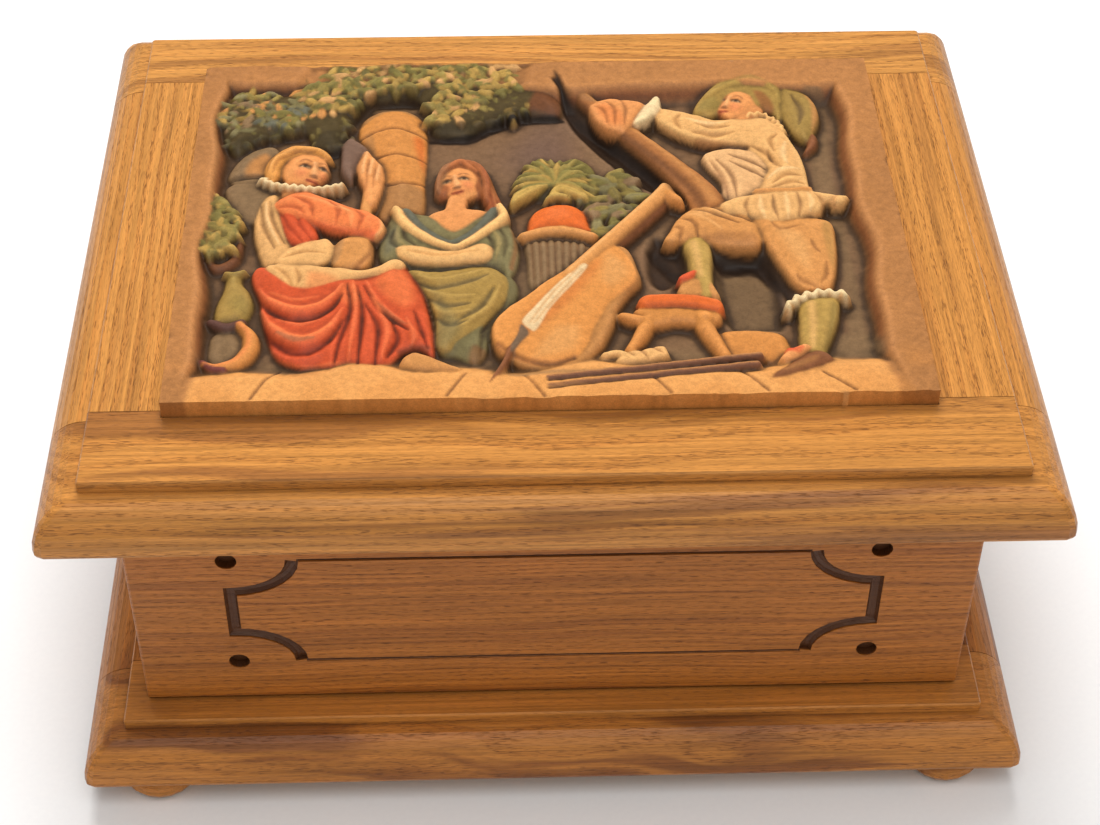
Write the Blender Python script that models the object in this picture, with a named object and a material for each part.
"""Lidded wooden music box with a carved lid plaque and a key-wound cylinder movement.

Metres, +Z up. The front faces -Y. The origin is on the surface that the feet stand on,
under the middle of the case. Sizes below are in millimetres times MM.
"""

import math

import bmesh
import bpy
from mathutils import Matrix
from mathutils import Vector

MM = 0.001
GAP = 0.3 * MM  # clearance between neighbouring pieces
SEAM = 0.15 * MM  # hairline left in a glued wood joint

# Case levels
FOOT_TOP = 6.3 * MM
BASE_TOP = 19.85 * MM
BODY_TOP = 81.0 * MM
LID_BOTTOM = 81.35 * MM
LID_TOP = 94.95 * MM
PLAQUE_TOP = 99.0 * MM

# Case plan, as half sizes
FRAME_X = 105.0 * MM  # widest part of the moulding
FRAME_Y = 85.7 * MM
PLATE_X = 95.6 * MM  # flat top inside the moulding
PLATE_Y = 77.4 * MM
BODY_X = 90.7 * MM
BODY_Y = 71.3 * MM
WALL = 8.0 * MM
INSIDE_X = BODY_X - WALL
INSIDE_Y = BODY_Y - WALL
BASE_OPEN_X = 80.0 * MM
BASE_OPEN_Y = 60.0 * MM
FOOT_INSET_X = 16.0 * MM
FOOT_INSET_Y = 9.4 * MM

# Moulding shared by the lid and the base
STEP_DEPTH = 2.7 * MM
LEDGE = 1.1 * MM
EDGE_RISE = 1.3 * MM  # the widest line lies this far above the underside
ROUND_STEPS = 7
CORNER_STEPS = 2

# Plaque on the lid
PLAQUE_X = 79.75 * MM
PLAQUE_SHIFT = -0.55 * MM
PLAQUE_FRONT = -58.7 * MM
PLAQUE_BACK = 59.5 * MM
RAIL_FRONT = -56.85 * MM  # where the front rail meets the stiles
RAIL_BACK = 58.75 * MM
RIM = 8.5 * MM
RECESS = 3.3 * MM

# Hinges
HINGE_Y = BODY_Y + 2.3 * MM
HINGE_Z = (BODY_TOP + LID_BOTTOM) / 2
HINGE_CENTRES = (-58.0 * MM, 58.0 * MM)
HINGE_HALF = 16.0 * MM
KNUCKLE_HALF = 5.2 * MM  # half the middle knuckle
KNUCKLE_R = 2.0 * MM
PIN_R = 0.85 * MM
LEAF = 0.8 * MM
LEAF_DEPTH = 6.8 * MM

# Movement
BARREL_X = -36.0 * MM
AXIS_Y = 36.0 * MM
CYLINDER_Z = 33.5 * MM
BED_TOP = 23.3 * MM
BED_X = (-58.0 * MM, 60.0 * MM)
BED_Y = (10.5 * MM, 59.6 * MM)
BOARD_TOP = 19.5 * MM
BOARD_BOTTOM = 13.3 * MM
ARBOR_R = 2.0 * MM
BARREL_TEETH = 30
CROWN_PITCH_R = 15.5 * MM
PINION_TEETH = 10
PINION_R = CROWN_PITCH_R * PINION_TEETH / BARREL_TEETH
GREAT_TEETH = 36
GREAT_R = 9.0 * MM
TRAIN_PINION_TEETH = 12
TRAIN_PINION_R = GREAT_R * TRAIN_PINION_TEETH / GREAT_TEETH
TRAIN_Y = 46.4 * MM
TRAIN_Z = CYLINDER_Z + 6.0 * MM
TRAIN_ARBOR_R = 1.1 * MM
WORM_WHEEL_TEETH = 24
WORM_WHEEL_R = 6.5 * MM
WORM_STARTS = 3
WORM_R = 1.8 * MM
WORM_ROOT_R = 1.2 * MM
WORM_LEAD = WORM_STARTS * 2 * math.pi * WORM_WHEEL_R / WORM_WHEEL_TEETH
GOVERNOR_X = 35.25 * MM
GOVERNOR_Y = TRAIN_Y + WORM_WHEEL_R + WORM_R + 0.1 * MM
CYLINDER_R = 8.5 * MM
CYLINDER_SPAN = (-14.0 * MM, 24.0 * MM)
COMB_TEETH = 24
LEVER_X = 51.0 * MM
LEVER_Y = 34.0 * MM
SCREW_SPOTS = ((-50.0 * MM, 15.5 * MM), (40.0 * MM, 15.5 * MM), (-5.0 * MM, 55.5 * MM))

ALONG_X = Matrix.Rotation(math.radians(90), 4, "Y")  # turns local +Z to +X


def clear_scene():
    for obj in list(bpy.data.objects):
        bpy.data.objects.remove(obj, do_unlink=True)


def material(name, colour, roughness, metallic=0.0):
    found = bpy.data.materials.get(name)
    if found:
        return found
    made = bpy.data.materials.new(name)
    made.use_nodes = True
    shader = made.node_tree.nodes["Principled BSDF"]
    shader.inputs["Base Color"].default_value = (*colour, 1.0)
    shader.inputs["Roughness"].default_value = roughness
    shader.inputs["Metallic"].default_value = metallic
    return made


def oak():
    return material("oak", (0.50, 0.27, 0.11), 0.45)


def brass():
    return material("brass", (0.78, 0.60, 0.28), 0.28, 1.0)


def steel():
    return material("steel", (0.62, 0.63, 0.65), 0.25, 1.0)


def plated():
    return material("plated_zinc", (0.70, 0.70, 0.68), 0.4, 1.0)


def finish(name, bm, look, origin=(0, 0, 0), smooth_angle=35):
    """Turns world-space geometry into an object whose origin is at the given point."""
    bmesh.ops.recalc_face_normals(bm, faces=bm.faces)
    bmesh.ops.translate(bm, verts=bm.verts, vec=-Vector(origin))
    mesh = bpy.data.meshes.new(name)
    bm.to_mesh(mesh)
    bm.free()
    mesh.materials.append(look)
    mesh.shade_smooth()
    mesh.set_sharp_from_angle(angle=math.radians(smooth_angle))
    obj = bpy.data.objects.new(name, mesh)
    obj.location = origin
    bpy.context.scene.collection.objects.link(obj)
    return obj


def helper(name, bm):
    """A shape used only to cut or to join, left out of the model."""
    obj = finish(name, bm, material("helper", (0.5, 0.5, 0.5), 0.5))
    obj.hide_render = True
    obj.display_type = "WIRE"
    return obj


def combine(obj, tool, operation="DIFFERENCE"):
    modifier = obj.modifiers.new(operation.lower(), "BOOLEAN")
    modifier.operation = operation
    modifier.object = tool
    modifier.solver = "EXACT"


def soften(obj, width, segments=2):
    modifier = obj.modifiers.new("edge", "BEVEL")
    modifier.width = width
    modifier.segments = segments
    modifier.limit_method = "ANGLE"
    modifier.angle_limit = math.radians(50)


def add_rings(bm, rings, close_ends=True):
    """Skins a stack of equal rings of points, each a closed outline."""
    made = [[bm.verts.new(point) for point in ring] for ring in rings]
    count = len(rings[0])
    for low, high in zip(made, made[1:]):
        for i in range(count):
            j = (i + 1) % count
            bm.faces.new((low[i], low[j], high[j], high[i]))
    if close_ends:
        bm.faces.new(made[0])
        bm.faces.new(made[-1])


def add_prism(bm, outline, low, high, matrix=None):
    """Extrudes an outline of (a, b) points from low to high along the third axis."""
    rings = [[Vector((a, b, level)) for a, b in outline] for level in (low, high)]
    if matrix:
        rings = [[matrix @ point for point in ring] for ring in rings]
    add_rings(bm, rings)


def add_box(bm, low, high):
    outline = ((low[0], low[1]), (high[0], low[1]), (high[0], high[1]), (low[0], high[1]))
    add_prism(bm, outline, low[2], high[2])


def circle(radius, steps, centre=(0, 0), start=0.0):
    turns = [start + 2 * math.pi * i / steps for i in range(steps)]
    return [(centre[0] + radius * math.cos(t), centre[1] + radius * math.sin(t)) for t in turns]


def add_rod(bm, radius, low, high, matrix=None, steps=16):
    add_prism(bm, circle(radius, steps), low, high, matrix)


def add_lathe(bm, profile, steps, matrix=None):
    """Turns a closed loop of (radius, height) points round local Z. A radius of 0 is a pole."""
    matrix = matrix or Matrix.Identity(4)
    rows = []
    for radius, height in profile:
        if radius == 0:
            rows.append([bm.verts.new(matrix @ Vector((0, 0, height)))] * steps)
            continue
        ring = circle(radius, steps)
        rows.append([bm.verts.new(matrix @ Vector((x, y, height))) for x, y in ring])
    for row, following in zip(rows, rows[1:] + rows[:1]):
        for i in range(steps):
            j = (i + 1) % steps
            corners = (row[i], row[j], following[j], following[i])
            distinct = list(dict.fromkeys(corners))
            if len(distinct) > 2:
                bm.faces.new(distinct)


def at(x, y, z, turn=None):
    moved = Matrix.Translation((x, y, z))
    return moved @ turn if turn else moved


def box_object(name, low, high, look, edge=0.4 * MM):
    bm = bmesh.new()
    add_box(bm, low, high)
    obj = finish(name, bm, look)
    if edge:
        soften(obj, edge)
    return obj


def gear_outline(teeth, root, tip, root_share=0.62, tip_share=0.34):
    """A toothed outline, with one tooth centred on the local X axis."""
    pitch = 2 * math.pi / teeth
    points = []
    for i in range(teeth):
        middle = i * pitch
        for radius, offset in (
            (root, -root_share / 2),
            (tip, -tip_share / 2),
            (tip, tip_share / 2),
            (root, root_share / 2),
        ):
            angle = middle + offset * pitch
            points.append((radius * math.cos(angle), radius * math.sin(angle)))
    return points


# ---------------------------------------------------------------- wooden case


def rounded_rectangle(half_x, half_y, radius):
    points = []
    for quarter, (sx, sy) in enumerate(((1, 1), (-1, 1), (-1, -1), (1, -1))):
        for step in range(CORNER_STEPS + 1):
            angle = math.pi / 2 * (quarter + step / CORNER_STEPS)
            x = sx * (half_x - radius) + radius * math.cos(angle)
            y = sy * (half_y - radius) + radius * math.sin(angle)
            points.append((x, y))
    return points


def moulding_section(bottom, top):
    """(share of the overhang, height) pairs up the moulded edge, from the underside."""
    ledge_share = LEDGE / (FRAME_X - PLATE_X)
    widest = bottom + EDGE_RISE
    ledge_top = top - STEP_DEPTH
    section = [(0.90, bottom), (0.965, bottom + 0.35 * EDGE_RISE), (1.0, widest)]
    for i in range(1, ROUND_STEPS + 1):
        angle = math.pi / 2 * i / ROUND_STEPS
        share = ledge_share + (1 - ledge_share) * math.cos(angle)
        section.append((share, widest + (ledge_top - widest) * math.sin(angle)))
    chamfer = 0.35 * MM
    section.append((0.0, ledge_top))
    section.append((0.0, top - chamfer))
    section.append((-chamfer / (FRAME_X - PLATE_X), top))
    return section


def add_moulded_plate(bm, bottom, top):
    rings = []
    for share, height in moulding_section(bottom, top):
        half_x = PLATE_X + share * (FRAME_X - PLATE_X)
        half_y = PLATE_Y + share * (FRAME_Y - PLATE_Y)
        corner = (0.5 + 1.6 * max(share, 0.0)) * MM
        rings.append([(x, y, height) for x, y in rounded_rectangle(half_x, half_y, corner)])
    add_rings(bm, rings)


def keep_side(bm, point, normal):
    """Slices the solid with a plane, keeps what lies against the normal, and caps it."""
    everything = bm.verts[:] + bm.edges[:] + bm.faces[:]
    cut = bmesh.ops.bisect_plane(
        bm, geom=everything, plane_co=point, plane_no=normal, clear_outer=True
    )
    edges = [e for e in cut["geom_cut"] if isinstance(e, bmesh.types.BMEdge)]
    bmesh.ops.holes_fill(bm, edges=edges)


def frame_piece(name, bottom, top, planes):
    bm = bmesh.new()
    add_moulded_plate(bm, bottom, top)
    for point, normal in planes:
        keep_side(bm, point, normal)
    return finish(name, bm, oak())


def make_frame(prefix, bottom, top, joint_front, joint_back, opening):
    """Two full-width rails with two stiles between them, moulded round the outside."""
    low_x, low_y, high_x, high_y = opening
    cutter = bmesh.new()
    margin = 5 * MM
    add_box(cutter, (low_x, low_y, bottom - margin), (high_x, high_y, top + margin))
    cutter = helper(f"{prefix}_opening_cutter", cutter)
    front = (0, joint_front - SEAM / 2, 0)
    back = (0, joint_back + SEAM / 2, 0)
    stile_front = ((0, joint_front + SEAM / 2, 0), (0, -1, 0))
    stile_back = ((0, joint_back - SEAM / 2, 0), (0, 1, 0))
    pieces = {
        "front_rail": [(front, (0, 1, 0))],
        "back_rail": [(back, (0, -1, 0))],
        "left_stile": [stile_front, stile_back, ((0, 0, 0), (1, 0, 0))],
        "right_stile": [stile_front, stile_back, ((0, 0, 0), (-1, 0, 0))],
    }
    made = {}
    for piece, planes in pieces.items():
        made[piece] = frame_piece(f"{prefix}_{piece}", bottom, top, planes)
        combine(made[piece], cutter)
    return made


def make_base():
    opening = (-BASE_OPEN_X, -BASE_OPEN_Y, BASE_OPEN_X, BASE_OPEN_Y)
    make_frame("base", FOOT_TOP, BASE_TOP, RAIL_FRONT - 3.2 * MM, RAIL_BACK + 1.3 * MM, opening)
    half_x = BASE_OPEN_X - SEAM
    half_y = BASE_OPEN_Y - SEAM
    board = box_object(
        "bottom_board",
        (-half_x, -half_y, BOARD_BOTTOM),
        (half_x, half_y, BOARD_TOP),
        material("plywood", (0.62, 0.45, 0.27), 0.6),
    )
    holes = bmesh.new()
    for x, y in SCREW_SPOTS:
        add_rod(holes, 1.8 * MM, BOARD_BOTTOM - MM, BOARD_TOP + MM, at(x, y, 0), 12)
    add_rod(holes, 4.0 * MM, BOARD_BOTTOM - MM, BOARD_TOP + MM, at(BARREL_X, AXIS_Y, 0), 20)
    combine(board, helper("bottom_board_holes", holes))


def make_feet():
    profile = (
        (0, 0),
        (5.8 * MM, 0),
        (8.0 * MM, 1.0 * MM),
        (9.0 * MM, 2.8 * MM),
        (8.7 * MM, 4.5 * MM),
        (7.5 * MM, FOOT_TOP - GAP),
        (0, FOOT_TOP - GAP),
    )
    for side, sx in (("left", -1), ("right", 1)):
        for end, sy in (("front", -1), ("back", 1)):
            bm = bmesh.new()
            place = at(sx * (FRAME_X - FOOT_INSET_X), sy * (FRAME_Y - FOOT_INSET_Y), 0)
            add_lathe(bm, profile, 20, place)
            finish(f"foot_{end}_{side}", bm, oak())


def add_groove(bm, path, half_width, depth):
    """A round-bottomed trench along path, a list of (x, z) points, cut into the front face."""
    section = ((-1.0, -0.5), (-0.94, 0.35), (-0.55, 0.86), (0.0, 1.0), (0.55, 0.86), (0.94, 0.35), (1.0, -0.5))
    rings = []
    for i, (x, z) in enumerate(path):
        before = Vector(path[max(i - 1, 0)])
        after = Vector(path[min(i + 1, len(path) - 1)])
        here = Vector((x, z))
        first = (here - before).normalized() if i else (after - here).normalized()
        second = (after - here).normalized() if i < len(path) - 1 else first
        direction = (first + second).normalized()
        side = Vector((-direction.y, direction.x))
        mitre = 1 / max(direction.dot(first), 0.5)
        ring = []
        for across, down in section:
            offset = side * (across * half_width * mitre)
            ring.append((x + offset.x, -BODY_Y + down * depth, z + offset.y))
        rings.append(ring)
    add_rings(bm, rings)


def ornament_bracket(side):
    """One end of the routed frame: a short upright between two scooped corners."""
    corner_x = 69.2 * MM
    low_z = 32.4 * MM
    high_z = 64.7 * MM
    scoop_x = 13.8 * MM
    scoop_z = 9.6 * MM
    steps = 7
    path = []
    for i in range(steps + 1):
        angle = math.pi / 2 * i / steps
        path.append((corner_x - scoop_x * math.cos(angle), low_z + scoop_z * math.sin(angle)))
    for i in range(steps + 1):
        angle = math.pi / 2 * (1 - i / steps)
        path.append((corner_x - scoop_x * math.cos(angle), high_z - scoop_z * math.sin(angle)))
    return [(side * x, z) for x, z in path], low_z, high_z, corner_x, corner_x - scoop_x


def make_front_panel():
    panel = box_object(
        "front_panel",
        (-BODY_X, -BODY_Y, BASE_TOP + GAP),
        (BODY_X, -INSIDE_Y, BODY_TOP),
        oak(),
        0.6 * MM,
    )
    for side, label in ((-1, "left"), (1, "right")):
        path, low_z, high_z, corner_x, line_end = ornament_bracket(side)
        groove = bmesh.new()
        add_groove(groove, path, 1.45 * MM, 1.3 * MM)
        combine(panel, helper(f"ornament_{label}_cutter", groove))
    lines = bmesh.new()
    add_groove(lines, [(-line_end + MM, low_z), (line_end - MM, low_z)], 0.45 * MM, 0.6 * MM)
    add_groove(lines, [(-line_end + MM, high_z), (line_end - MM, high_z)], 0.45 * MM, 0.6 * MM)
    combine(panel, helper("ornament_lines_cutter", lines))
    dots = bmesh.new()
    face_in = Matrix.Rotation(math.radians(-90), 4, "X")  # turns local +Z to +Y
    for x in (-corner_x, corner_x):
        for z in (low_z, high_z):
            add_rod(dots, 2.3 * MM, -MM, 2.2 * MM, at(x, -BODY_Y, z, face_in), 16)
    combine(panel, helper("ornament_dots_cutter", dots))


def make_body():
    make_front_panel()
    back = box_object(
        "back_panel", (-BODY_X, INSIDE_Y, BASE_TOP + GAP), (BODY_X, BODY_Y, BODY_TOP), oak(), 0.6 * MM
    )
    mortises = bmesh.new()
    for centre in HINGE_CENTRES:
        reach = HINGE_HALF + GAP
        low = (centre - reach, BODY_Y - LEAF_DEPTH - GAP, BODY_TOP - LEAF - GAP)
        add_box(mortises, low, (centre + reach, BODY_Y + MM, BODY_TOP + MM))
    combine(back, helper("back_panel_mortises", mortises))
    reach_y = INSIDE_Y - SEAM
    for label, sx in (("left", -1), ("right", 1)):
        inner = sx * INSIDE_X
        outer = sx * BODY_X
        low = (min(inner, outer), -reach_y, BASE_TOP + GAP)
        high = (max(inner, outer), reach_y, BODY_TOP)
        box_object(f"{label}_side_panel", low, high, oak(), 0.4 * MM)


def add_hinge_axis_rod(bm, radius, centre, low, high, steps=16):
    add_rod(bm, radius, low, high, at(centre, HINGE_Y, HINGE_Z, ALONG_X), steps)


def make_lid():
    gap = 0.2 * MM
    opening = (
        PLAQUE_SHIFT - PLAQUE_X - gap,
        PLAQUE_FRONT - gap,
        PLAQUE_SHIFT + PLAQUE_X + gap,
        PLAQUE_BACK + gap,
    )
    pieces = make_frame("lid", LID_BOTTOM, LID_TOP, RAIL_FRONT, RAIL_BACK, opening)
    mortises = bmesh.new()
    grooves = bmesh.new()
    for centre in HINGE_CENTRES:
        reach = HINGE_HALF + GAP
        low = (centre - reach, BODY_Y - LEAF_DEPTH - GAP, LID_BOTTOM - MM)
        add_box(mortises, low, (centre + reach, HINGE_Y, LID_BOTTOM + LEAF + GAP))
        add_hinge_axis_rod(grooves, KNUCKLE_R + GAP, centre, -reach, reach)
    combine(pieces["back_rail"], helper("lid_leaf_mortises", mortises))
    combine(pieces["back_rail"], helper("lid_knuckle_grooves", grooves))
    inset = 0.25 * MM
    panel_low = (opening[0] + inset, opening[1] + inset)
    panel_high = (opening[2] - inset, opening[3] - inset)
    box_object(
        "lid_backing_panel", (*panel_low, 83.0 * MM), (*panel_high, 86.0 * MM), oak(), 0
    )
    box_object(
        "lid_lining",
        (*panel_low, 81.9 * MM),
        (*panel_high, 82.7 * MM),
        material("felt", (0.30, 0.03, 0.04), 0.95),
        0,
    )


# ---------------------------------------------------------------- carved plaque


def bump_between(x, y, start, end, start_r, end_r):
    """Height share, 0 to 1, of a tapered round-backed ridge at (x, y)."""
    along = Vector(end) - Vector(start)
    here = Vector((x, y)) - Vector(start)
    share = min(max(here.dot(along) / max(along.length_squared, 1e-6), 0.0), 1.0)
    radius = start_r + (end_r - start_r) * share
    distance = (here - along * share).length / radius
    return math.sqrt(max(1 - distance * distance, 0.0))


# Masses of the carving in plaque millimetres: start, end, radii, height above the ground.
CARVED_MASSES = (
    ((-70, 43), (-18, 49), 8, 9, 3.0),  # leaf canopy
    ((-36, 42), (-32, 8), 8, 6, 2.6),  # stone pillar
    ((-55, 21), (-55, 20), 8, 8, 3.2),  # seated lute player: head
    ((-57, 8), (-54, -8), 9, 9, 3.0),  # body
    ((-54, 5), (-38, -1), 5, 5, 3.8),  # arm
    ((-54, -24), (-38, -34), 12, 14, 3.4),  # skirt
    ((-40, 24), (-43, -12), 4, 5, 3.4),  # lute
    ((-19, 15), (-19, 14), 7, 7, 3.0),  # seated listener: head
    ((-20, 1), (-18, -32), 12, 9, 3.0),  # body
    ((2, 18), (3, 17), 9, 9, 2.4),  # fern
    ((3, 2), (3, -14), 7, 7, 2.6),  # pot on its pedestal
    ((-3, -38), (12, -18), 10, 8, 3.4),  # cello
    ((12, -12), (28, 11), 3, 3, 3.0),  # cello neck
    ((49, 46), (49, 44), 10, 9, 3.2),  # standing piper: hat and head
    ((45, 35), (53, 13), 11, 9, 3.6),  # trunk
    ((42, 34), (15, 40), 6, 5, 3.4),  # arm
    ((8, 52), (37, 10), 3, 4, 3.0),  # pipe
    ((44, 3), (66, 5), 5, 4, 3.6),  # coat skirt
    ((46, -3), (31, -2), 7, 6, 3.4),  # raised thigh
    ((33, -8), (34, -24), 4, 3, 3.0),  # raised calf
    ((56, -4), (57, -20), 8, 6, 3.6),  # standing thigh
    ((58, -28), (55, -45), 5, 4, 3.2),  # standing calf
    ((46, -53), (56, -48), 3, 4, 3.2),  # shoe
    ((21, -29), (36, -29), 4, 4, 2.4),  # stool
    ((-67, -22), (-68, -42), 4, 5, 2.4),  # jugs
)


def plaque_height(x, y):
    """Height of the carved face below or above the rim, in millimetres, at a plaque point."""
    sides = min(x + 79.75, 79.75 - x, 59.5 - y)
    rim = min(max((RIM / MM - sides) / 3.5, 0.0), 1.0)
    stage = min(max((-44.0 - y) / 14.0, 0.0), 1.0)
    ground = -RECESS / MM * (1 - max(rim * rim * (3 - 2 * rim), stage))
    relief = ground
    for start, end, start_r, end_r, height in CARVED_MASSES:
        share = bump_between(x, y, start, end, start_r, end_r)
        relief = max(relief, -RECESS / MM + height * share) if share > 0 else relief
    return min(relief, 0.0)


def make_plaque():
    columns = 46
    rows = 34
    bottom = 86.3 * MM
    bm = bmesh.new()
    surface = []
    for j in range(rows + 1):
        y = PLAQUE_FRONT + (PLAQUE_BACK - PLAQUE_FRONT) * j / rows
        line = []
        for i in range(columns + 1):
            x = -PLAQUE_X + 2 * PLAQUE_X * i / columns
            inside = 0 < i < columns and 0 < j < rows
            drop = plaque_height(x / MM, y / MM) * MM if inside else 0.0
            line.append(bm.verts.new((x + PLAQUE_SHIFT, y, PLAQUE_TOP + drop)))
        surface.append(line)
    for j in range(rows):
        for i in range(columns):
            near, far = surface[j], surface[j + 1]
            bm.faces.new((near[i], near[i + 1], far[i + 1], far[i]))
    border = surface[0] + [line[-1] for line in surface[1:]]
    border += surface[-1][-2::-1] + [line[0] for line in surface[-2:0:-1]]
    under = [bm.verts.new((v.co.x, v.co.y, bottom)) for v in border]
    for i in range(len(border)):
        j = (i + 1) % len(border)
        bm.faces.new((border[i], under[i], under[j], border[j]))
    bm.faces.new(under)
    finish("relief_plaque", bm, material("painted_carving", (0.70, 0.42, 0.20), 0.5), smooth_angle=60)


# ---------------------------------------------------------------- hinges


def leaf_outline(centre, tabs):
    """Plan of a hinge leaf: a plate with tabs that reach back to its own knuckles."""
    front = BODY_Y - LEAF_DEPTH
    back = HINGE_Y - KNUCKLE_R - GAP - 0.1 * MM
    tab = HINGE_Y - MM
    points = [(centre - HINGE_HALF, front), (centre + HINGE_HALF, front)]
    for low, high in sorted(tabs, reverse=True):
        points += [(centre + high, back)] if high < HINGE_HALF else []
        points += [(centre + high, tab), (centre + low, tab)]
        points += [(centre + low, back)] if low > -HINGE_HALF else []
    if tabs[0][0] > -HINGE_HALF:
        points.insert(2, (centre + HINGE_HALF, back))
        points.append((centre - HINGE_HALF, back))
    return points


def make_leaf(name, centre, low, tabs):
    bm = bmesh.new()
    add_prism(bm, leaf_outline(centre, tabs), low, low + LEAF)
    leaf = finish(name, bm, brass(), (centre, HINGE_Y, HINGE_Z))
    knuckles = bmesh.new()
    for start, end in tabs:
        add_hinge_axis_rod(knuckles, KNUCKLE_R, centre, start, end)
    combine(leaf, helper(f"{name}_knuckles", knuckles), "UNION")
    bore = bmesh.new()
    add_hinge_axis_rod(bore, PIN_R + 0.2 * MM, centre, -HINGE_HALF - MM, HINGE_HALF + MM)
    combine(leaf, helper(f"{name}_bore", bore))


def make_hinges():
    gap = 0.15 * MM
    outer = [(-HINGE_HALF, -KNUCKLE_HALF - gap), (KNUCKLE_HALF + gap, HINGE_HALF)]
    middle = [(-KNUCKLE_HALF + gap, KNUCKLE_HALF - gap)]
    for label, centre in zip(("left", "right"), HINGE_CENTRES):
        make_leaf(f"{label}_hinge_body_leaf", centre, BODY_TOP - LEAF, outer)
        make_leaf(f"{label}_hinge_lid_leaf", centre, LID_BOTTOM, middle)
        bm = bmesh.new()
        add_hinge_axis_rod(bm, PIN_R, centre, -HINGE_HALF, HINGE_HALF, 14)
        finish(f"{label}_hinge_pin", bm, steel(), (centre, HINGE_Y, HINGE_Z))


# ---------------------------------------------------------------- inside fittings


def make_fittings():
    reach_x = INSIDE_X - GAP
    box_object(
        "compartment_divider", (-reach_x, 4 * MM, BASE_TOP + GAP), (reach_x, 8 * MM, 67.7 * MM), oak()
    )
    box_object(
        "tray_felt",
        (-reach_x, -INSIDE_Y + GAP, BASE_TOP + GAP),
        (reach_x, 3.7 * MM, BASE_TOP + 1.6 * MM),
        material("felt", (0.30, 0.03, 0.04), 0.95),
        0.3 * MM,
    )
    for label, sx in (("left", -1), ("right", 1)):
        near = sx * (INSIDE_X - 4 * MM)
        far = sx * reach_x
        low = (min(near, far), 8.3 * MM, 63.5 * MM)
        high = (max(near, far), INSIDE_Y - GAP, 67.7 * MM)
        box_object(f"glass_ledge_{label}", low, high, oak())
    glass = box_object(
        "glass_pane",
        (-reach_x, 4.2 * MM, 68.0 * MM),
        (reach_x, INSIDE_Y - GAP, 70.0 * MM),
        material("glass", (0.9, 0.95, 0.93), 0.05),
        0.3 * MM,
    )
    notch = bmesh.new()
    low = (LEVER_X - 3.5 * MM, 3.0 * MM, 67.0 * MM)
    add_box(notch, low, (LEVER_X + 8.5 * MM, 18.5 * MM, 71.0 * MM))
    combine(glass, helper("glass_notch", notch))


# ---------------------------------------------------------------- movement: frame


def bedplate_holes():
    bm = bmesh.new()
    for x, y in SCREW_SPOTS:
        add_rod(bm, 1.8 * MM, BOARD_TOP, BED_TOP + MM, at(x, y, 0), 12)
    add_rod(bm, ARBOR_R + GAP, BOARD_TOP, BED_TOP + MM, at(BARREL_X, AXIS_Y, 0))
    return bm


def make_bedplate():
    bm = bmesh.new()
    radius = 4 * MM
    corners = ((BED_X[1], BED_Y[1]), (BED_X[0], BED_Y[1]), (BED_X[0], BED_Y[0]), (BED_X[1], BED_Y[0]))
    outline = []
    for quarter, (x, y) in enumerate(corners):
        middle_x = x - math.copysign(radius, x)
        middle_y = y - radius if quarter < 2 else y + radius
        for step in range(4):
            angle = math.pi / 2 * (quarter + step / 3)
            outline.append((middle_x + radius * math.cos(angle), middle_y + radius * math.sin(angle)))
    add_prism(bm, outline, BOARD_TOP + GAP, BED_TOP)
    plate = finish("bedplate", bm, brass())
    soften(plate, 0.4 * MM, 1)
    combine(plate, helper("bedplate_holes", bedplate_holes()))


def standing_plate(name, outline, low_x, high_x, bores, look):
    """An upright plate across the movement, its outline in (y, z), with round bores."""
    bm = bmesh.new()
    to_yz = Matrix(((0, 0, 1, 0), (1, 0, 0, 0), (0, 1, 0, 0), (0, 0, 0, 1)))
    add_prism(bm, outline, low_x, high_x, to_yz)
    plate = finish(name, bm, look)
    cutter = bmesh.new()
    for y, z, radius in bores:
        add_rod(cutter, radius, low_x - MM, high_x + MM, at(0, y, z, ALONG_X))
    combine(plate, helper(f"{name}_bores", cutter))
    return plate


def arch_outline(middle, half, low, axis_z, steps=8):
    """A post with a round top centred on the bore it carries."""
    points = [(middle + half, low)]
    points += [
        (middle + half * math.cos(math.pi * i / steps), axis_z + half * math.sin(math.pi * i / steps))
        for i in range(steps + 1)
    ]
    points.append((middle - half, low))
    return points


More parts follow.
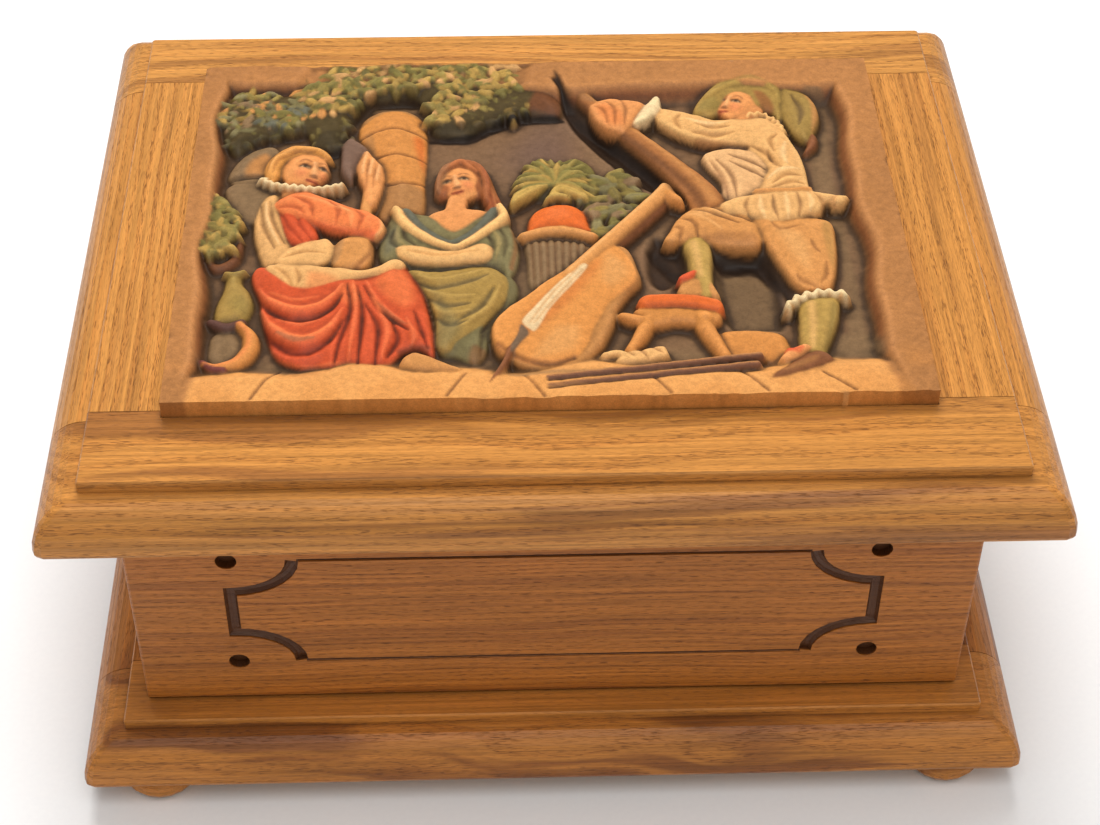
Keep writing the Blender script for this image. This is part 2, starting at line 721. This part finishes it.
def make_movement_frame():
    make_bedplate()
    foot = BED_TOP + GAP
    arbor_bore = (AXIS_Y, CYLINDER_Z, ARBOR_R + 0.15 * MM)
    train_bore = (TRAIN_Y, TRAIN_Z, TRAIN_ARBOR_R + 0.15 * MM)
    post = arch_outline(AXIS_Y, 4.5 * MM, foot, CYLINDER_Z)
    standing_plate("cylinder_bearing", post, -18.3 * MM, -15.8 * MM, [arbor_bore], brass())
    post = arch_outline(TRAIN_Y + 2 * MM, 4.2 * MM, foot, TRAIN_Z - 0.5 * MM)
    standing_plate("train_bearing", post, 25.2 * MM, 26.8 * MM, [train_bore], brass())
    top = 46.2 * MM
    shape = (
        (28 * MM, foot),
        (50 * MM, foot),
        (50 * MM, 35 * MM),
        (59 * MM, 35 * MM),
        (59 * MM, top),
        (38 * MM, top),
        (28 * MM, 39 * MM),
    )
    standing_plate("train_plate", shape, 42 * MM, 44.5 * MM, [arbor_bore, train_bore], brass())
    cock = box_object(
        "governor_cock", (31 * MM, 50.5 * MM, 46.5 * MM), (44.5 * MM, 59 * MM, 48.3 * MM), brass()
    )
    hole = bmesh.new()
    add_rod(hole, 1.2 * MM, 45 * MM, 50 * MM, at(GOVERNOR_X, GOVERNOR_Y, 0))
    combine(cock, helper("governor_cock_hole", hole))
    make_barrel_bridge(foot)
    for i, (x, y) in enumerate(SCREW_SPOTS):
        profile = (
            (0, 11.2 * MM),
            (2.9 * MM, 11.2 * MM),
            (3.3 * MM, 11.9 * MM),
            (3.3 * MM, BOARD_BOTTOM - GAP),
            (1.5 * MM, BOARD_BOTTOM - GAP),
            (1.5 * MM, 22.5 * MM),
            (0, 22.5 * MM),
        )
        bm = bmesh.new()
        add_lathe(bm, profile, 14, at(x, y, 0))
        finish(f"movement_screw_{i + 1}", bm, steel())


def make_barrel_bridge(foot):
    half = 4 * MM
    reach = 20.5 * MM
    low = 45.0 * MM
    outline = []
    for end in (1, -1):
        for i in range(7):
            angle = math.pi * i / 6 + (0 if end == 1 else math.pi)
            x = BARREL_X + half * math.cos(angle)
            outline.append((x, AXIS_Y + end * reach + half * math.sin(angle)))
    bm = bmesh.new()
    add_prism(bm, outline, low, low + 1.8 * MM)
    bridge = finish("barrel_bridge", bm, brass())
    hole = bmesh.new()
    add_rod(hole, ARBOR_R + 0.15 * MM, low - MM, low + 3 * MM, at(BARREL_X, AXIS_Y, 0))
    combine(bridge, helper("barrel_bridge_hole", hole))
    for label, end in (("front", -1), ("back", 1)):
        bm = bmesh.new()
        add_rod(bm, 2.6 * MM, foot, low - GAP, at(BARREL_X, AXIS_Y + end * reach, 0), 14)
        finish(f"bridge_post_{label}", bm, brass())


# ---------------------------------------------------------------- movement: spring and key


def add_crown_wheel(bm, inner, outer, low, root, tip):
    """A ring whose upper face carries teeth, with a gap centred on the +X axis."""
    pitch = 2 * math.pi / BARREL_TEETH
    corners = []
    for i in range(BARREL_TEETH):
        middle = (i + 0.5) * pitch
        for offset, height in ((-0.25, root), (-0.16, tip), (0.16, tip), (0.25, root)):
            corners.append((middle + offset * pitch, height))
    loops = []
    for radius, raised in ((inner, True), (outer, True), (outer, False), (inner, False)):
        loop = []
        for angle, height in corners:
            level = height if raised else low
            x = BARREL_X + radius * math.cos(angle)
            loop.append(bm.verts.new((x, AXIS_Y + radius * math.sin(angle), level)))
        loops.append(loop)
    for loop, following in zip(loops, loops[1:] + loops[:1]):
        for i in range(len(corners)):
            j = (i + 1) % len(corners)
            bm.faces.new((loop[i], loop[j], following[j], following[i]))


def add_mainspring(bm, low, high):
    """A flat strip wound in a spiral inside the barrel."""
    turns = 4.5
    per_turn = 16
    thick = 0.5 * MM
    first = 3.6 * MM
    last = 11.0 * MM
    count = int(turns * per_turn)
    rings = []
    for i in range(count + 1):
        angle = 2 * math.pi * i / per_turn
        radius = first + (last - first) * i / count
        ring = []
        for r, z in ((radius, low), (radius + thick, low), (radius + thick, high), (radius, high)):
            ring.append((BARREL_X + r * math.cos(angle), AXIS_Y + r * math.sin(angle), z))
        rings.append(ring)
    add_rings(bm, rings)


def make_barrel():
    centre = (BARREL_X, AXIS_Y, 0)
    low = BED_TOP + 1.4 * MM
    profile = (
        (ARBOR_R + GAP, low),
        (17 * MM, low),
        (17 * MM, low + 1.3 * MM),
        (13 * MM, low + 1.3 * MM),
        (13 * MM, 40 * MM),
        (12 * MM, 40 * MM),
        (12 * MM, low + 1.6 * MM),
        (ARBOR_R + GAP, low + 1.6 * MM),
    )
    bm = bmesh.new()
    add_lathe(bm, profile, 32, at(*centre))
    finish("spring_barrel", bm, brass(), centre)
    bm = bmesh.new()
    pitch_plane = CYLINDER_Z - PINION_R
    add_crown_wheel(
        bm, 14.2 * MM, 16.8 * MM, low + 1.6 * MM, pitch_plane - 0.75 * MM, pitch_plane + 0.5 * MM
    )
    finish("barrel_gear", bm, brass(), centre)
    bm = bmesh.new()
    add_lathe(
        bm,
        (
            (ARBOR_R + GAP, 40.3 * MM),
            (13 * MM, 40.3 * MM),
            (13 * MM, 41.3 * MM),
            (4 * MM, 41.3 * MM),
            (4 * MM, 42.2 * MM),
            (ARBOR_R + GAP, 42.2 * MM),
        ),
        28,
        at(*centre),
    )
    finish("barrel_cap", bm, brass(), centre)
    bm = bmesh.new()
    add_mainspring(bm, 27.6 * MM, 38.5 * MM)
    finish("mainspring", bm, steel(), centre)


def make_winding():
    centre = (BARREL_X, AXIS_Y, 0)
    bm = bmesh.new()
    profile = (
        (0, 5.2 * MM),
        (1.4 * MM, 5.2 * MM),
        (1.4 * MM, 12.6 * MM),
        (ARBOR_R, 12.6 * MM),
        (ARBOR_R, 48.0 * MM),
        (0, 48.0 * MM),
    )
    add_lathe(bm, profile, 16, at(*centre))
    finish("winding_arbor", bm, steel(), centre)
    bm = bmesh.new()
    profile = ((1.7 * MM, 4.2 * MM), (3.3 * MM, 4.2 * MM), (3.6 * MM, 12.2 * MM), (1.7 * MM, 12.2 * MM))
    add_lathe(bm, profile, 20, at(*centre))
    key = finish("winding_key", bm, plated(), centre)
    wings = bmesh.new()
    along_y = Matrix.Rotation(math.radians(90), 4, "X")  # turns local +Y to +Z
    for side in (-1, 1):
        outline = []
        for i in range(15):
            angle = math.pi * (-0.5 + i / 14)
            outline.append((side * (4.6 + 6.0 * math.cos(angle)) * MM, (7.0 + 4.6 * math.sin(angle)) * MM))
        outline.append((side * 2.4 * MM, 11.0 * MM))
        outline.append((side * 2.4 * MM, 5.0 * MM))
        add_prism(wings, outline, -0.9 * MM, 0.9 * MM, at(*centre, along_y))
    combine(key, helper("winding_key_wings", wings), "UNION")


# ---------------------------------------------------------------- movement: cylinder and train


def make_cylinder():
    centre = (0, AXIS_Y, CYLINDER_Z)
    turned = at(*centre, ALONG_X)
    start, end = CYLINDER_SPAN
    bore = ARBOR_R + GAP
    lip = 7.2 * MM
    dish = 1.5 * MM
    profile = (
        (bore, start + dish),
        (lip, start + dish),
        (lip, start),
        (CYLINDER_R, start),
        (CYLINDER_R, end),
        (lip, end),
        (lip, end - dish),
        (bore, end - dish),
    )
    bm = bmesh.new()
    add_lathe(bm, profile, 36, turned)
    finish("pinned_cylinder", bm, brass(), centre)

    bm = bmesh.new()
    add_rod(bm, ARBOR_R, -21.9 * MM, 46.5 * MM, turned)
    arbor = finish("cylinder_arbor", bm, steel(), centre)
    bm = bmesh.new()
    outline = gear_outline(PINION_TEETH, PINION_R - 0.75 * MM, PINION_R + 0.5 * MM, 0.5, 0.26)
    add_prism(bm, outline, -21.7 * MM, -19.3 * MM, turned)
    combine(arbor, helper("cylinder_pinion_shape", bm), "UNION")

    bm = bmesh.new()
    outline = gear_outline(GREAT_TEETH, GREAT_R - 0.6 * MM, GREAT_R + 0.4 * MM, 0.56, 0.26)
    add_prism(bm, outline, 28.0 * MM, 30.5 * MM, turned)
    wheel = finish("cylinder_gear", bm, brass(), centre)
    bm = bmesh.new()
    add_rod(bm, bore, 27 * MM, 32 * MM, turned)
    combine(wheel, helper("cylinder_gear_bore", bm))


def make_train():
    centre = (0, TRAIN_Y, TRAIN_Z)
    turned = at(*centre, ALONG_X)
    towards = math.atan2(TRAIN_Z - CYLINDER_Z, TRAIN_Y - AXIS_Y)
    # The great wheel's tooth nearest the contact line sets where the pinion's gap has to be.
    great_pitch = 2 * math.pi / GREAT_TEETH
    contact = towards + math.pi / 2  # local angle of the contact line on the great wheel
    excess = contact - round(contact / great_pitch) * great_pitch
    pinion_pitch = 2 * math.pi / TRAIN_PINION_TEETH
    gap_angle = contact + math.pi + excess * GREAT_TEETH / TRAIN_PINION_TEETH
    spin = Matrix.Rotation(gap_angle + pinion_pitch / 2, 4, "Z")
    bm = bmesh.new()
    add_rod(bm, TRAIN_ARBOR_R, 24.4 * MM, 46.0 * MM, turned, 12)
    arbor = finish("train_arbor", bm, steel(), centre)
    bm = bmesh.new()
    outline = gear_outline(
        TRAIN_PINION_TEETH, TRAIN_PINION_R - 0.6 * MM, TRAIN_PINION_R + 0.4 * MM, 0.5, 0.26
    )
    add_prism(bm, outline, 27.6 * MM, 30.9 * MM, turned @ spin)
    combine(arbor, helper("train_pinion_shape", bm), "UNION")

    bm = bmesh.new()
    outline = gear_outline(WORM_WHEEL_TEETH, WORM_WHEEL_R - 0.8 * MM, WORM_WHEEL_R, 0.56, 0.26)
    add_prism(bm, outline, 34.1 * MM, 36.4 * MM, turned)
    wheel = finish("worm_wheel", bm, brass(), centre)
    bm = bmesh.new()
    add_rod(bm, TRAIN_ARBOR_R + 0.15 * MM, 33 * MM, 38 * MM, turned, 14)
    combine(wheel, helper("worm_wheel_bore", bm))


def governor_radius(angle, height):
    """Radius of the governor shaft: plain ends with a three-start worm between them."""
    if abs(height - TRAIN_Z) > 4.6 * MM:
        return 0.95 * MM
    phase = WORM_STARTS * (angle - 2 * math.pi * height / WORM_LEAD)
    wave = 0.5 + 0.5 * math.cos(phase)
    return WORM_ROOT_R + (WORM_R - WORM_ROOT_R) * wave


def make_governor():
    centre = (GOVERNOR_X, GOVERNOR_Y, 0)
    steps = 18
    slices = 22
    worm_low = TRAIN_Z - 4.59 * MM
    worm_high = TRAIN_Z + 4.59 * MM
    heights = [BED_TOP + GAP, worm_low - 0.3 * MM]
    heights += [worm_low + (worm_high - worm_low) * i / slices for i in range(slices + 1)]
    heights += [worm_high + 0.3 * MM, 49.4 * MM]
    rings = []
    for height in heights:
        ring = []
        for i in range(steps):
            angle = 2 * math.pi * i / steps
            radius = governor_radius(angle, height)
            ring.append((GOVERNOR_X + radius * math.cos(angle), GOVERNOR_Y + radius * math.sin(angle), height))
        rings.append(ring)
    bm = bmesh.new()
    add_rings(bm, rings)
    finish("governor_worm", bm, steel(), centre)

    bm = bmesh.new()
    low = 25.4 * MM
    profile = ((1.2 * MM, low), (2.2 * MM, low), (2.2 * MM, low + 6 * MM), (1.2 * MM, low + 6 * MM))
    add_lathe(bm, profile, 16, at(*centre))
    fan = finish("governor_fan", bm, steel(), centre)
    blades = bmesh.new()
    for side in (-1, 1):
        near = GOVERNOR_Y + side * 1.7 * MM
        far = GOVERNOR_Y + side * 5.6 * MM
        low_corner = (GOVERNOR_X - 0.35 * MM, min(near, far), low + 0.4 * MM)
        add_box(blades, low_corner, (GOVERNOR_X + 0.35 * MM, max(near, far), low + 5.6 * MM))
    combine(fan, helper("governor_blades", blades), "UNION")


# ---------------------------------------------------------------- movement: comb and stop lever


def make_comb():
    low_x = -13.0 * MM
    high_x = 23.0 * MM
    back = 12.6 * MM
    root = 18.6 * MM
    tip = AXIS_Y - CYLINDER_R - 0.7 * MM
    pitch = (high_x - low_x) / COMB_TEETH
    half_slit = 0.2 * MM
    outline = [(low_x, back), (high_x, back)]
    for i in range(COMB_TEETH):
        right = high_x - i * pitch
        left = right - pitch
        root_here = root - 4.0 * MM * i / COMB_TEETH + 2.0 * MM
        outline += [(right - half_slit, root_here), (right - half_slit, tip)]
        outline += [(left + half_slit, tip), (left + half_slit, root_here)]
    bm = bmesh.new()
    add_prism(bm, outline, CYLINDER_Z - 0.8 * MM, CYLINDER_Z + 0.8 * MM)
    finish("comb", bm, steel())
    box_object(
        "comb_base",
        (low_x, back, BED_TOP + GAP),
        (high_x, 16.0 * MM, CYLINDER_Z - 0.8 * MM - GAP),
        brass(),
    )


def make_stop_lever():
    centre = (LEVER_X, LEVER_Y, 0)
    low = 27.0 * MM
    high = 28.3 * MM
    half = 1.8 * MM
    tip_x = 42.4 * MM
    tip_y = GOVERNOR_Y
    outline = [
        (LEVER_X - half, 12 * MM),
        (LEVER_X + half, 12 * MM),
        (LEVER_X + half, tip_y - MM),
        (LEVER_X, tip_y + MM),
        (tip_x, tip_y + MM),
        (tip_x, tip_y - MM),
        (LEVER_X - half, tip_y - 1.6 * MM),
    ]
    bm = bmesh.new()
    add_prism(bm, outline, low, high)
    lever = finish("stop_lever", bm, plated(), centre)
    soften(lever, 0.25 * MM, 1)
    bm = bmesh.new()
    add_rod(bm, 1.4 * MM, low + 0.4 * MM, 77 * MM, at(LEVER_X, 13.8 * MM, 0), 12)
    combine(lever, helper("stop_lever_finger", bm), "UNION")
    bm = bmesh.new()
    add_rod(bm, 1.3 * MM, low - MM, high + MM, at(*centre), 16)
    combine(lever, helper("stop_lever_bore", bm))
    bm = bmesh.new()
    profile = (
        (0, BED_TOP + GAP),
        (2.4 * MM, BED_TOP + GAP),
        (2.4 * MM, low - GAP),
        (1.15 * MM, low - GAP),
        (1.15 * MM, high + GAP),
        (2.4 * MM, high + GAP),
        (2.4 * MM, high + 1.3 * MM),
        (0, high + 1.3 * MM),
    )
    add_lathe(bm, profile, 16, at(*centre))
    finish("stop_lever_pivot", bm, steel())


def main():
    clear_scene()
    make_base()
    make_feet()
    make_body()
    make_lid()
    make_plaque()
    make_hinges()
    make_fittings()
    make_movement_frame()
    make_barrel()
    make_winding()
    make_cylinder()
    make_train()
    make_governor()
    make_comb()
    make_stop_lever()


main()
